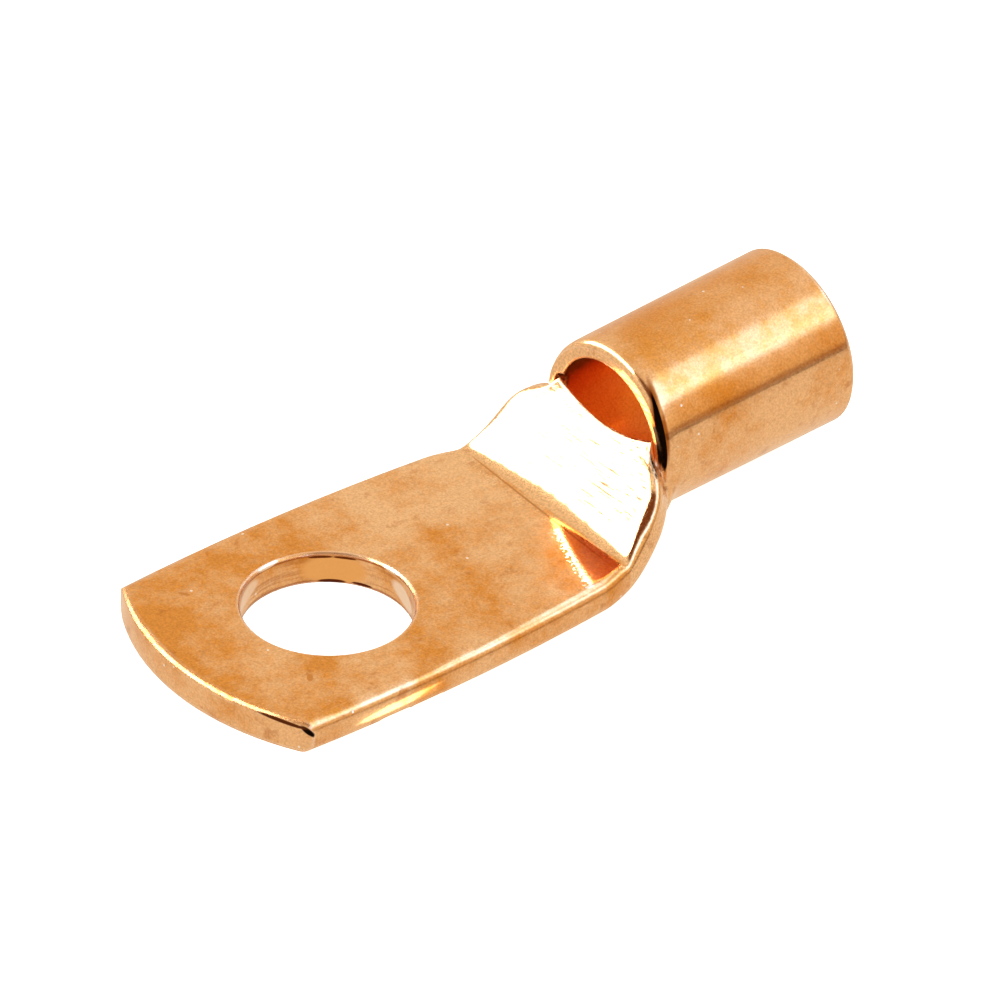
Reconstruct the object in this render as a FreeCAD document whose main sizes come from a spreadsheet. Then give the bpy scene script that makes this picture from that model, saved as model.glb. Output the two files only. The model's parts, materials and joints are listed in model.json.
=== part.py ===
import FreeCAD, Part
import math
import os
import Sketcher

# Copper cable lug: a tube pressed flat into a bolt palm, with a sheared inspection window
# Frame in millimetres: +Z up, +X from the palm's tip to the mouth of the barrel
# The origin is on the axis of the bolt hole, on the palm's underside
NODE = "lug_body"

doc = FreeCAD.newDocument("copper_cable_lug")

# Driving dimensions
SIZES = [
    ("bolt_hole_diameter", 8.4, "clearance hole for an M8 bolt"),
    ("hole_edge_break", 0.1, "broken top edge of the hole"),
    ("wall", 0.86, "wall of the tube"),
    ("palm_width", 15.2, "across the palm at its widest"),
    ("palm_widest_station", 0.46, "where the palm is widest, from the hole"),
    ("side_bow_radius", 117.0, "bow of the palm's long sides, seen from above"),
    ("edge_fold_radius", 0.63, "round of the folded sides"),
    ("tip_reach", 8.83, "hole axis to the tip"),
    ("tip_arc_radius", 14.1, "arc of the trimmed tip"),
    ("tip_rollover", 0.28, "edge drawn down by the trimming die"),
    ("waist_station", 12.0, "where the palm starts to narrow to the barrel"),
    ("neck_taper", 10.5, "narrowing of each side from there, in degrees"),
    ("neck_length", 4.5, "end of the bowed sides to the bend"),
    ("turn_station", 15.6, "where the folds turn in to the barrel"),
    ("bend_station", 13.6, "corner line between palm and ramp"),
    ("bend_reach", 0.6, "half length of the soft bend at that corner"),
    ("bend_sweep", 0.35, "how far the bend line falls back at the sides"),
    ("ramp_angle", 40.8, "slope of the ramp in degrees"),
    ("window_station", 17.2, "plane of the sheared window"),
    ("scoop_width", 9.24, "across the folds at the window"),
    ("scoop_widest_height", 3.0, "height of that width"),
    ("heel_flat_width", 2.4, "flat underside at the window"),
    ("crest_height", 5.68, "crest of the side folds at the window"),
    ("far_crest_offset", 3.6, "crest on the +Y side, from the middle"),
    ("near_crest_offset", 3.3, "crest on the -Y side, from the middle"),
    ("crest_easing", 1.8, "power with which the crests draw together along the ramp"),
    ("fold_fullness", 0.7, "length of the folds' curve handles, 0.55 is a true round"),
    ("far_shear_tuck", 0.85, "how far the torn wall is pushed in beside the lip, +Y side"),
    ("near_shear_tuck", 0.45, "the same on the -Y side"),
    ("far_tear_height", 4.9, "where the tear ends on the +Y side, above the underside"),
    ("near_tear_height", 4.3, "where it ends on the -Y side"),
    ("tear_notch_radius", 0.8, "torn inner corner of the window on the +Y side"),
    ("tear_notch_offset", 3.3, "that corner, from the middle"),
    ("tear_notch_height", 5.2, "that corner, above the underside"),
    ("tear_notch_depth", 0.45, "how far that torn corner reaches into the barrel"),
    ("barrel_diameter", 9.0, "outside of the barrel behind the window"),
    ("mouth_diameter", 9.2, "outside of the barrel at its mouth"),
    ("bore_diameter", 7.24, "inside of the barrel"),
    ("barrel_axis_height", 4.61, "barrel axis above the underside, at the window"),
    ("barrel_pitch", 2.9, "rise of the barrel axis towards the mouth in degrees"),
    ("barrel_length", 11.9, "window plane to mouth, along the barrel"),
    ("fairing_length", 1.05, "over which the pressed shape rounds out into the barrel"),
    ("lip_rollover", 0.40, "edge drawn down by the shear along the lip"),
    ("far_lip_rollover", 0.05, "the same at the lip's +Y end, where it fades out"),
    ("mouth_edge", 0.22, "broken outer edge of the mouth"),
    ("crease_gap", 0.06, "gap where the two walls part under the ramp"),
]

sheet = doc.addObject("Spreadsheet::Sheet", "sizes")
for row, (alias, value, note) in enumerate(SIZES, start=1):
    sheet.set("A%d" % row, alias)
    sheet.set("B%d" % row, str(value))
    sheet.setAlias("B%d" % row, alias)
    sheet.set("C%d" % row, note)
doc.recompute()


def size(alias):
    """Value of one driving dimension."""
    return float(getattr(sheet, alias))


# Values that follow from the driving dimensions
wall = size("wall")
palm_thickness = 2 * wall
fold = size("edge_fold_radius")
bend = size("bend_station")
window = size("window_station")
ramp_slope = math.tan(math.radians(size("ramp_angle")))
sill_height = palm_thickness + ramp_slope * (window - bend)
pitch = math.radians(size("barrel_pitch"))
axis_height = size("barrel_axis_height")
barrel_radius = size("barrel_diameter") / 2
bow_radius = size("side_bow_radius")
bow_axis_offset = size("palm_width") / 2 - bow_radius
side_end = bend - size("neck_length")

# Stock left beyond the tip, and how far the trimming cut reaches past the stock
TRIM_STOCK = 3.0
TRIM_MARGIN = 1.0
stock_end = size("tip_reach") + TRIM_STOCK


def smooth(fraction):
    """Ease from 0 to 1 with level ends."""
    fraction = min(max(fraction, 0.0), 1.0)
    return fraction * fraction * (3 - 2 * fraction)


def mix(first, second, fraction):
    """Point a given fraction of the way from one (y, z) pair to another."""
    return tuple(a + (b - a) * fraction for a, b in zip(first, second))


def arc(centre, radii, start, end):
    """Four control points of an elliptical arc, angles in radians from +Y towards +Z."""
    handle = 4 / 3 * math.tan((end - start) / 4)
    points = []
    for angle, turn in ((start, 0), (start, handle), (end, -handle), (end, 0)):
        across = math.cos(angle) - turn * math.sin(angle)
        up = math.sin(angle) + turn * math.cos(angle)
        points.append((centre[0] + radii[0] * across, centre[1] + radii[1] * up))
    return points


def straight(first, last):
    """Four control points of a straight run."""
    return [mix(first, last, step / 3) for step in range(4)]


def flat_run(half, height, handle):
    """Level run across the middle, its handles as long as its neighbours' handles."""
    return [(-half, height), (handle - half, height), (half - handle, height), (half, height)]


def mirrored(piece):
    """The same piece on the other side, run the other way."""
    return [(-across, up) for across, up in reversed(piece)]


def closed_loop(middle, far, near, top):
    """Whole outline, anticlockwise: underside, +Y side, top, then the -Y side mirrored."""
    return [middle] + far + top + [mirrored(piece) for piece in reversed(near)]


# Outline of the flat palm: a tube pressed until its walls touch
def palm_pieces(half_width):
    """Underside, low corner, side and top corner of one half, then the top's control points."""
    shoulder = half_width - fold
    quarter = math.pi / 2
    low_corner = arc((shoulder, fold), (fold, fold), -quarter, 0)
    side = straight((half_width, fold), (half_width, palm_thickness - fold))
    top_corner = arc((shoulder, palm_thickness - fold), (fold, fold), 0, quarter)
    top = straight((shoulder, palm_thickness), (-shoulder, palm_thickness))
    underside = flat_run(shoulder, 0.0, low_corner[1][0] - shoulder)
    return [underside, low_corner, side, top_corner, top]


# Outline of the pressed wall at the window: the lower part is shared by ramp and barrel
def lip_radii(end, rolled):
    """Radii of the lip's edge sideways and upwards, drawn in where it is rolled."""
    roll = size("far_lip_rollover") if end == "far" else size("lip_rollover")
    return (barrel_radius - rolled * roll, barrel_radius - rolled * size("lip_rollover"))


def tear_angle(end, upward):
    """Angle about the barrel axis at which the tear ends on one side."""
    return math.asin((size(end + "_tear_height") - axis_height) / upward)


def heel_pieces(end, rolled):
    """Underside, low corner and flank; the flank ends where the tear ends."""
    half_width = size("scoop_width") / 2
    flat = size("heel_flat_width") / 2
    widest = size("scoop_widest_height")
    low_corner = arc((flat, widest), (half_width - flat, widest), -math.pi / 2, 0)
    radii = lip_radii(end, rolled)
    foot = (radii[0] * math.cos(tear_angle(end, radii[1])), size(end + "_tear_height"))
    rise = (foot[1] - widest) / 3
    flank = [(half_width, widest), (half_width, widest + rise), (foot[0], foot[1] - rise), foot]
    underside = flat_run(flat, 0.0, low_corner[1][0] - flat)
    return [underside, low_corner, flank]


def fold_shoulder(foot, crest, slope, torn, tuck):
    """Round of a fold from the flank's end over its crest; torn tucks it in under the lip."""
    reach = size("fold_fullness") * (foot[0] - crest[0]) / math.hypot(1.0, slope)
    climb = crest[1] - foot[1]
    whole_foot = (foot[0], foot[1] + size("fold_fullness") * climb)
    whole_head = (crest[0] + reach, crest[1] + reach * slope)
    torn_foot = (foot[0] - tuck, foot[1])
    torn_head = (crest[0] + tuck / 4, crest[1] - climb / 2)
    near_foot = mix(whole_foot, torn_foot, torn)
    near_head = mix(whole_head, torn_head, torn)
    return [foot, near_foot, near_head, crest]


def sill_pieces(end, torn):
    """Half of the ramp's outline in the window plane, then the trough; torn is 1 at the tear."""
    lower = heel_pieces(end, torn)
    offset = size(end + "_crest_offset")
    crest = size("crest_height")
    low = (4 * sill_height - crest) / 3
    slope = (crest - low) / (offset * 2 / 3)
    tuck = size(end + "_shear_tuck")
    shoulder = fold_shoulder(lower[2][3], (offset, crest), slope, torn, tuck)
    far = size("far_crest_offset")
    near = size("near_crest_offset")
    trough = [(far, crest), (far / 3, low), (-near / 3, low), (-near, crest)]
    return lower + [shoulder, trough]


def side_at(station):
    """Half width of the palm and its tapering neck, seen from above."""
    offset = station - size("palm_widest_station")
    bowed = bow_axis_offset + math.sqrt(bow_radius ** 2 - offset ** 2)
    taper = math.tan(math.radians(size("neck_taper")))
    narrowed = bowed - taper * max(station - size("waist_station"), 0.0)
    return narrowed


def half_width_at(station):
    """Half width with the folds' ends turned in to meet the barrel."""
    turn = size("turn_station")
    share = max(station - turn, 0.0) / (window - turn)
    return side_at(station) - (side_at(window) - size("scoop_width") / 2) * share * share


# Share of each control point that follows the flank's bulge, piece by piece
BULGE = [(0, 0, 0, 0), (0, 0, 1, 1), (1, 1, 1, 1), (1, 1, 0, 0), (0, 0, 0, 0)]


def pressed_pieces(end, station, torn):
    """Half outline between palm and window: the flanks ease in, the ramp rises at one slope."""
    rise = min(max((station - bend) / (window - bend), 0.0), 1.0)
    spread = smooth(rise)
    drawn = rise ** size("crest_easing")
    flank_ease = (spread, spread)
    crest_ease = (drawn, rise)
    easing = [[flank_ease] * 4] * 3 + [[flank_ease] * 2 + [crest_ease] * 2, [crest_ease] * 4]
    side = side_at(station)
    bulge = half_width_at(station) - (side + (size("scoop_width") / 2 - side) * spread)
    pieces = []
    for start, finish, eases, follow in zip(
            palm_pieces(side), sill_pieces(end, torn), easing, BULGE):
        points = []
        for first, second, ease, share in zip(start, finish, eases, follow):
            across = first[0] + (second[0] - first[0]) * ease[0] + bulge * share
            up = first[1] + (second[1] - first[1]) * ease[1]
            points.append((across, up))
        pieces.append(points)
    return pieces


def pressed_outline(station, torn=0.0):
    """Closed outline across the palm or ramp at a station."""
    far = pressed_pieces("far", station, torn)
    near = pressed_pieces("near", station, torn)
    return closed_loop(far[0], far[1:4], near[1:4], [far[4]])


def hollow_outline(station):
    """The pressed outline drawn in by one wall all round."""
    half_width = half_width_at(station)
    centre = palm_thickness + ramp_slope * (station - bend)
    ramp_wall = wall * math.hypot(1.0, ramp_slope)
    narrow = (half_width - wall) / half_width
    lower = (centre - ramp_wall - wall) / centre
    return [[(y * narrow, wall + z * lower) for y, z in piece] for piece in pressed_outline(station)]


# Outlines of the barrel, from the window plane to the mouth
def round_pieces(end, radius):
    """Half of a full circle about the barrel axis, cut at the same places as the heel."""
    quarter = math.pi / 2
    heel = math.atan2(size("heel_flat_width") / 2, axis_height)
    widest = math.asin((size("scoop_widest_height") - axis_height) / barrel_radius)
    tear = tear_angle(end, barrel_radius)
    cuts = [-quarter - heel, -quarter + heel, widest, tear, quarter]
    radii = (radius, radius)
    return [arc((0.0, 0.0), radii, start, last) for start, last in zip(cuts, cuts[1:])]


def lip_pieces(end, rolled):
    """Half of the barrel's outline in the window plane, about the barrel axis."""
    radii = lip_radii(end, rolled)
    crown = arc((0.0, 0.0), radii, tear_angle(end, radii[1]), math.pi / 2)
    lower = heel_pieces(end, rolled)
    return [[(y, z - axis_height) for y, z in piece] for piece in lower] + [crown]


def barrel_outline(along, rolled, share):
    """Closed outline across the barrel; share is how far it has rounded out."""
    halves = []
    for end in ("far", "near"):
        half = []
        for first, second in zip(lip_pieces(end, rolled), round_pieces(end, outer_radius(along))):
            half.append([mix(a, b, share) for a, b in zip(first, second)])
        halves.append(half)
    return closed_loop(halves[0][0], halves[0][1:], halves[1][1:], [])


def sweep_at(station):
    """How far the sides of an outline fall back: most at the bend, none at the window."""
    fade = size("waist_station") if station < bend else window
    return size("bend_sweep") * max(1 - (station - bend) / (fade - bend), 0.0)


def upright(loop, station, sweep=0.0):
    """Place an outline across the palm or ramp, its sides falling back by a sweep."""
    half_width = size("palm_width") / 2
    placed = []
    for piece in loop:
        points = []
        for y, z in piece:
            back = sweep * (y / half_width) ** 2
            points.append(FreeCAD.Vector(station - back, y, z))
        placed.append(points)
    return placed


def pitched(loop, along, tilt):
    """Place an outline, measured from the barrel axis, across the barrel at a distance."""
    centre_x = window + along * math.cos(pitch)
    centre_z = axis_height + along * math.sin(pitch)
    placed = []
    for piece in loop:
        points = []
        for y, up in piece:
            x = centre_x - up * math.sin(tilt)
            z = centre_z + up * math.cos(tilt)
            points.append(FreeCAD.Vector(x, y, z))
        placed.append(points)
    return placed


# The palm's long sides are arcs seen from above, swung about two upright axes
def bow_angle(station):
    """Angle of a station on that arc, from the palm's widest station."""
    return math.asin((station - size("palm_widest_station")) / bow_radius)


def swung(point, turn, side, ahead=0.0):
    """A point of the widest section, swung along the arc of one side, then moved straight on."""
    reach = point[0] - bow_axis_offset
    x = size("palm_widest_station") + reach * math.sin(turn) + ahead * math.cos(turn)
    y = bow_axis_offset + reach * math.cos(turn) - ahead * math.sin(turn)
    return FreeCAD.Vector(x, side * y, point[1])


# A true quarter arc as a cubic piece: length of its handles, and weight of its inner points
ARC_HANDLE = 2 - math.sqrt(2)
ARC_WEIGHT = (1 + math.sqrt(2)) / 3
# Which pieces of the palm's outline are its corners
CORNER_PIECES = (1, 3, 5, 7)


def swung_section(turn, ahead=0.0):
    """The palm's whole outline at an angle of its bowed sides, with true arcs at the corners."""
    underside, low_corner, flank, top_corner, top = palm_pieces(size("palm_width") / 2)
    true_low = true_arc(low_corner, (low_corner[3][0], 0.0))
    true_top = true_arc(top_corner, (top_corner[0][0], palm_thickness))
    corners = (true_low, flank, true_top)
    far = [[swung(point, turn, 1, ahead) for point in piece] for piece in corners]
    near = [[swung(point, turn, -1, ahead) for point in reversed(piece)]
            for piece in reversed(corners)]
    low_run = level_run(underside, near[-1][-1], far[0][0])
    top_run = level_run(top, far[-1][-1], near[0][0])
    return [low_run] + far + [top_run] + near


def true_arc(piece, corner):
    """Control points of a true quarter arc between a piece's ends, about their shared corner."""
    first = mix(piece[0], corner, ARC_HANDLE)
    second = mix(piece[3], corner, ARC_HANDLE)
    return [piece[0], first, second, piece[3]]


def level_run(piece, first, last):
    """A level run between two points, its control points spaced as on another piece."""
    span = piece[3][0] - piece[0][0]
    shares = [(point[0] - piece[0][0]) / span for point in piece]
    return [first + (last - first) * share for share in shares]


def corner_weights(rows):
    """Weights of a corner strip's control points: true arcs where it leaves the bowed sides."""
    arcs = [[1.0, ARC_WEIGHT, ARC_WEIGHT, 1.0]] * 2
    return arcs + [[1.0] * 4] * (rows - 2)


# Solids from control sections
def bezier_edge(poles):
    """Edge along one piece of an outline."""
    curve = Part.BezierCurve()
    curve.setPoles(poles)
    return curve.toShape()


def round_edge(poles):
    """True arc along a corner of the palm."""
    middle = (poles[0] + poles[3] + (poles[1] + poles[2]) * 3 * ARC_WEIGHT) / (2 + 6 * ARC_WEIGHT)
    return Part.Arc(poles[0], middle, poles[3]).toShape()


def palm_faces(start, end):
    """Faces of the palm between two angles of its bowed sides, closed at the first."""
    first = swung_section(start)
    last = swung_section(end)
    upwards = FreeCAD.Vector(0, 0, 1)
    faces = []
    rims = {}
    for side, (before, flank, after) in ((1, (1, 2, 3)), (-1, (5, 6, 7))):
        axis_base = FreeCAD.Vector(size("palm_widest_station"), side * bow_axis_offset, 0)
        swing = math.degrees(start - end) * side
        profile = [round_edge(first[before]), Part.makeLine(first[flank][0], first[flank][3]),
                   round_edge(first[after])]
        faces += [edge.revolve(axis_base, upwards, swing) for edge in profile]
        rims[before] = Part.Vertex(first[before][0]).revolve(axis_base, upwards, swing)
        rims[after] = Part.Vertex(first[after][3]).revolve(axis_base, upwards, swing)
        inner = Part.makeLine(first[after][3], first[before][0])
        faces.append(Part.Face(Part.Wire(profile + [inner])))
    for level, far_rim, near_rim in ((0, 1, 7), (4, 3, 5)):
        across = [Part.makeLine(section[level][0], section[level][3]) for section in (first, last)]
        edges = Part.sortEdges([across[0], rims[far_rim], across[1], rims[near_rim]])[0]
        faces.append(Part.Face(Part.Wire(edges)))
    corners = [first[0][0], first[0][3], first[4][0], first[4][3], first[0][0]]
    faces.append(Part.Face(Part.makePolygon(corners)))
    return faces


def flat_face(face):
    """The same face as a true plane."""
    edges = []
    for edge in face.OuterWire.OrderedEdges:
        edges.append(edge.Curve.toShape(edge.FirstParameter, edge.LastParameter))
    return Part.Face(Part.Wire(edges))


def strip_faces(rows, seam, weights=None):
    """Faces of one strip: cubic across and along, or straight along between two sections."""
    degree = 1 if len(rows) == 2 else 3
    spans = len(rows) - degree
    knots = [float(step) for step in range(spans + 1)]
    repeats = [degree + 1] + [1] * (spans - 1) + [degree + 1]
    surface = Part.BSplineSurface()
    surface.buildFromPolesMultsKnots(
        rows, repeats, [4, 4], knots, [0.0, 1.0], False, False, degree, 3, weights)
    marks = [0.0, float(spans)] if seam is None else [0.0, float(seam), float(spans)]
    faces = []
    for low, high in zip(marks, marks[1:]):
        part = surface.copy()
        part.segment(low, high, 0.0, 1.0)
        face = part.toShape()
        heights = [pole.z for row in part.getPoles() for pole in row]
        if max(heights) - min(heights) < 1e-9:
            face = flat_face(face)
        faces.append(face)
    return faces


def cap(section):
    """Flat face that closes a solid at one end section."""
    return Part.Face(Part.Wire([bezier_edge(poles) for poles in section]))


def solid_through(stages, seam=None, start_faces=None):
    """Closed solid whose skin runs through stages of control sections; a seam parts strips."""
    faces = start_faces if start_faces else [cap(stages[0][0])]
    faces.append(cap(stages[-1][-1]))
    for sections in stages:
        for index in range(len(sections[0])):
            at_corner = start_faces and index in CORNER_PIECES
            weights = corner_weights(len(sections)) if at_corner else None
            faces += strip_faces([section[index] for section in sections], seam, weights)
    shell = Part.makeShell(faces)
    shell.sewShape()
    solid = Part.makeSolid(shell)
    if solid.Volume < 0:
        solid.reverse()
    return solid


# Control stations of the neck before the bend; the strips' flat part has as many spans
NECK_STATIONS = 4
# Control stations at the bend, in units of its reach
BEND_STATIONS = (-2.7, -0.7, 0.0, 1.0)
# Control stations of the ramp as shares of its run: the whole folds, then the torn ones
RAMP_SHARES = (0.2, 0.4, 0.62)
TEAR_SHARES = ((0.84, 0.5), (0.95, 0.9), (1.0, 1.0))


def neck_and_ramp():
    """Control sections from the bowed sides' end, over the bend, to the torn window."""
    turn = bow_angle(side_end)
    reach = size("bend_reach")
    bend_stations = [bend + share * reach for share in BEND_STATIONS]
    step = (bend_stations[0] - side_end) / NECK_STATIONS
    ramp_start = bend_stations[-1]
    ramp_run = window - ramp_start
    stations = [side_end + step * count for count in range(2, NECK_STATIONS)] + bend_stations
    stations += [ramp_start + ramp_run * share for share in RAMP_SHARES]
    torn_stations = [(station, 0.0) for station in stations]
    torn_stations += [(ramp_start + ramp_run * share, torn) for share, torn in TEAR_SHARES]
    sections = [swung_section(turn), swung_section(turn, step)]
    for station, torn in torn_stations:
        sections.append(upright(pressed_outline(station, torn), station, sweep_at(station)))
    return sections


def pressed_skin():
    """Palm, ramp and side folds as one solid, before the hollow is taken out."""
    palm = palm_faces(bow_angle(-stock_end), bow_angle(side_end))
    return solid_through([neck_and_ramp()], NECK_STATIONS, palm)


# How far the hollow runs on behind the window, in units of the fairing, and how it narrows
HOLLOW_RUN_ON = 0.8
HOLLOW_NARROWING = 0.85


def wedge_hollow():
    """Space between the two walls under the ramp, run on into the bore behind the window."""
    ramp_wall = wall * math.hypot(1.0, ramp_slope)
    crease = bend + (wall + ramp_wall + size("crease_gap") - palm_thickness) / ramp_slope
    middle_station = (crease + window) / 2
    sections = [upright(hollow_outline(x), x) for x in (crease, middle_station, window)]
    middle = wall + size("bore_diameter") / 3
    narrowed = []
    for piece in hollow_outline(window):
        points = [(y * HOLLOW_NARROWING, middle + (z - middle) * HOLLOW_NARROWING) for y, z in piece]
        narrowed.append(points)
    sections.append(upright(narrowed, window + size("fairing_length") * HOLLOW_RUN_ON))
    return solid_through([list(pair) for pair in zip(sections, sections[1:])])


def outer_radius(along):
    """Barrel radius at a distance from the window: the barrel flares slightly to its mouth."""
    large = size("mouth_diameter") / 2
    return barrel_radius + (large - barrel_radius) * along / size("barrel_length")


def barrel_circle(along, radius):
    """Full round outline across the barrel."""
    far = round_pieces("far", radius)
    near = round_pieces("near", radius)
    return pitched(closed_loop(far[0], far[1:], near[1:], []), along, pitch)


# Control stations of the rolled lip in units of the rollover, each with how far it is rolled
LIP_STATIONS = ((0.0, 1.0), (0.22, 0.25), (1.05, 0.0))
# Control stations behind it in units of the fairing
FAIRING_SHARES = (0.7, 1.0, 1.3)


def barrel_skin():
    """Outside of the barrel, from the rolled lip to the mouth."""
    fairing = size("fairing_length")
    length = size("barrel_length")
    edge = size("mouth_edge")
    stations = [(size("lip_rollover") * share, rolled) for share, rolled in LIP_STATIONS]
    stations += [(fairing * share, 0.0) for share in FAIRING_SHARES]
    rounding = []
    for along, rolled in stations:
        share = smooth(along / fairing)
        rounding.append(pitched(barrel_outline(along, rolled, share), along, pitch * share))
    large = outer_radius(length - edge)
    plain = [rounding[-1], barrel_circle(length - edge, large)]
    mouth = [plain[-1], barrel_circle(length, large - edge)]
    return solid_through([rounding, plain, mouth])


def feature(name, shape):
    """Put a finished shape into the document."""
    item = doc.addObject("Part::Feature", name)
    item.Shape = shape
    return item


skin = doc.addObject("Part::MultiFuse", "tube_skin")
skin.Shapes = [feature("pressed_skin", pressed_skin()), feature("barrel_skin", barrel_skin())]

bore = doc.addObject("Part::Cylinder", "bore")
bore.setExpression("Radius", "sizes.bore_diameter / 2")
bore.setExpression("Height", "sizes.barrel_length + 2 * sizes.barrel_diameter")
axis = FreeCAD.Vector(math.cos(pitch), 0, math.sin(pitch))
window_centre = FreeCAD.Vector(window, 0, axis_height)
bore_start = window_centre - axis * size("barrel_diameter")
bore.Placement = FreeCAD.Placement(bore_start, FreeCAD.Rotation(FreeCAD.Vector(0, 0, 1), axis))
behind_window = doc.addObject("Part::Box", "behind_window")
behind_window.setExpression("Length", "sizes.barrel_length * 2")
behind_window.setExpression("Width", "sizes.barrel_diameter * 2")
behind_window.setExpression("Height", "sizes.barrel_diameter * 3")
behind_window.setExpression("Placement.Base.x", "sizes.window_station")
behind_window.setExpression("Placement.Base.y", "-sizes.barrel_diameter")
behind_window.setExpression("Placement.Base.z", "-sizes.barrel_diameter")
barrel_bore = doc.addObject("Part::Common", "barrel_bore")
barrel_bore.Base = bore
barrel_bore.Tool = behind_window
tear_notch = doc.addObject("Part::Cone", "tear_notch")
tear_notch.setExpression("Radius1", "sizes.tear_notch_radius")
tear_notch.setExpression("Radius2", "sizes.tear_notch_radius / 2")
tear_notch.setExpression("Height", "sizes.tear_notch_depth")
notch_place = FreeCAD.Vector(window, size("tear_notch_offset"), size("tear_notch_height"))
along_x = FreeCAD.Rotation(FreeCAD.Vector(0, 0, 1), FreeCAD.Vector(1, 0, 0))
tear_notch.Placement = FreeCAD.Placement(notch_place, along_x)
hollow = doc.addObject("Part::MultiFuse", "tube_hollow")
hollow.Shapes = [feature("wedge_hollow", wedge_hollow()), barrel_bore, tear_notch]
tube = doc.addObject("Part::Cut", "pressed_tube")
tube.Base = skin
tube.Tool = hollow
doc.recompute()

# The press work is finished in one body: trim the tip, punch the hole, roll the edges
body = doc.addObject("PartDesign::Body", NODE)
body.Label = NODE
body.BaseFeature = tube
doc.recompute()


def origin_plane(owner, role):
    """One of the body's own origin planes."""
    for item in owner.Origin.OriginFeatures:
        if item.Role == role:
            return item
    raise RuntimeError("no plane " + role)


def new_sketch(name, role="XY_Plane"):
    """Sketch on an origin plane, by default the palm's underside."""
    sketch = body.newObject("Sketcher::SketchObject", name)
    sketch.AttachmentSupport = [(origin_plane(body, role), "")]
    sketch.MapMode = "FlatFace"
    return sketch


def need_less_than(item, before):
    """Stop where a cut took nothing away."""
    if not item.Shape.Volume < before:
        raise RuntimeError(item.Name + " cut nothing")


def cut_up(name, profile):
    """Cut a profile through the palm, upwards from the underside."""
    before = body.Tip.Shape.Volume
    pocket = body.newObject("PartDesign::Pocket", name)
    pocket.Profile = profile
    pocket.Type = "Length"
    pocket.setExpression("Length", "sizes.wall * 4")
    pocket.Reversed = True
    doc.recompute()
    need_less_than(pocket, before)


# Tip trimmed to an arc
trim_half = size("palm_width") / 2 + TRIM_MARGIN
tip_centre = size("tip_arc_radius") - size("tip_reach")
arc_start = tip_centre - math.sqrt(size("tip_arc_radius") ** 2 - trim_half ** 2)
far_side = -stock_end - TRIM_MARGIN
tip_sketch = new_sketch("tip_profile")
corners = [
    FreeCAD.Vector(arc_start, trim_half, 0),
    FreeCAD.Vector(far_side, trim_half, 0),
    FreeCAD.Vector(far_side, -trim_half, 0),
    FreeCAD.Vector(arc_start, -trim_half, 0),
]
tip_point = FreeCAD.Vector(-size("tip_reach"), 0, 0)
tip_sketch.addGeometry(Part.Arc(corners[0], tip_point, corners[3]), False)
for first, second in zip(corners, corners[1:]):
    tip_sketch.addGeometry(Part.LineSegment(first, second), False)
for constraint in (
    ("Coincident", 0, 1, 1, 1), ("Coincident", 1, 2, 2, 1), ("Coincident", 2, 2, 3, 1),
    ("Coincident", 3, 2, 0, 2), ("PointOnObject", 0, 3, -1),
    ("Horizontal", 1), ("Vertical", 2), ("Horizontal", 3),
    ("Radius", 0, size("tip_arc_radius")), ("DistanceX", -1, 1, 0, 3, tip_centre),
    ("DistanceX", 1, 2, -1, 1, -far_side), ("DistanceY", -1, 1, 1, 1, trim_half),
    ("DistanceY", 3, 2, -1, 1, trim_half),
):
    tip_sketch.addConstraint(Sketcher.Constraint(*constraint))
tip_sketch.setExpression("Constraints[8]", "sizes.tip_arc_radius")
tip_sketch.setExpression("Constraints[9]", "sizes.tip_arc_radius - sizes.tip_reach")
doc.recompute()
cut_up("tip_trim", tip_sketch)

# Bolt hole
hole_sketch = new_sketch("hole_profile")
hole_circle = Part.Circle(FreeCAD.Vector(), FreeCAD.Vector(0, 0, 1), size("bolt_hole_diameter") / 2)
hole_sketch.addGeometry(hole_circle, False)
hole_sketch.addConstraint(Sketcher.Constraint("Coincident", 0, 3, -1, 1))
hole_sketch.addConstraint(Sketcher.Constraint("Diameter", 0, size("bolt_hole_diameter")))
hole_sketch.setExpression("Constraints[1]", "sizes.bolt_hole_diameter")
doc.recompute()
cut_up("bolt_hole", hole_sketch)


def rim_edges(shape, centre_x, radius, height):
    """Names of the edges that lie on an upright cylinder at a height."""
    names = []
    for number, edge in enumerate(shape.Edges, start=1):
        points = edge.discretize(5)
        distances = [abs(math.hypot(point.x - centre_x, point.y) - radius) for point in points]
        heights = [abs(point.z - height) for point in points]
        if max(distances) < 0.001 and max(heights) < 0.001:
            names.append("Edge%d" % number)
    return names


# Edge of the hole broken on top, where the bolt's washer sits
punched = body.Tip
hole_edge = body.newObject("PartDesign::Chamfer", "hole_edge")
hole_rim = rim_edges(punched.Shape, 0.0, size("bolt_hole_diameter") / 2, palm_thickness)
hole_edge.Base = (punched, hole_rim)
hole_edge.setExpression("Size", "sizes.hole_edge_break")
doc.recompute()

# Top edge of the tip drawn down by the trimming die, swung about the axis of the tip's arc
ROLL_SWING = 80.0
roll = size("tip_rollover")
roll_start = -size("tip_reach")
roll_centre = FreeCAD.Vector(roll_start + roll, palm_thickness - roll, 0)
profile = [
    FreeCAD.Vector(roll_start, palm_thickness - roll, 0),
    FreeCAD.Vector(roll_start - TRIM_MARGIN, palm_thickness - roll, 0),
    FreeCAD.Vector(roll_start - TRIM_MARGIN, palm_thickness + TRIM_MARGIN, 0),
    FreeCAD.Vector(roll_start + roll, palm_thickness + TRIM_MARGIN, 0),
    FreeCAD.Vector(roll_start + roll, palm_thickness, 0),
]
roll_sketch = new_sketch("tip_roll_profile", "XZ_Plane")
circle = Part.Circle(roll_centre, FreeCAD.Vector(0, 0, 1), roll)
roll_sketch.addGeometry(Part.ArcOfCircle(circle, math.pi / 2, math.pi), False)
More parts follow.
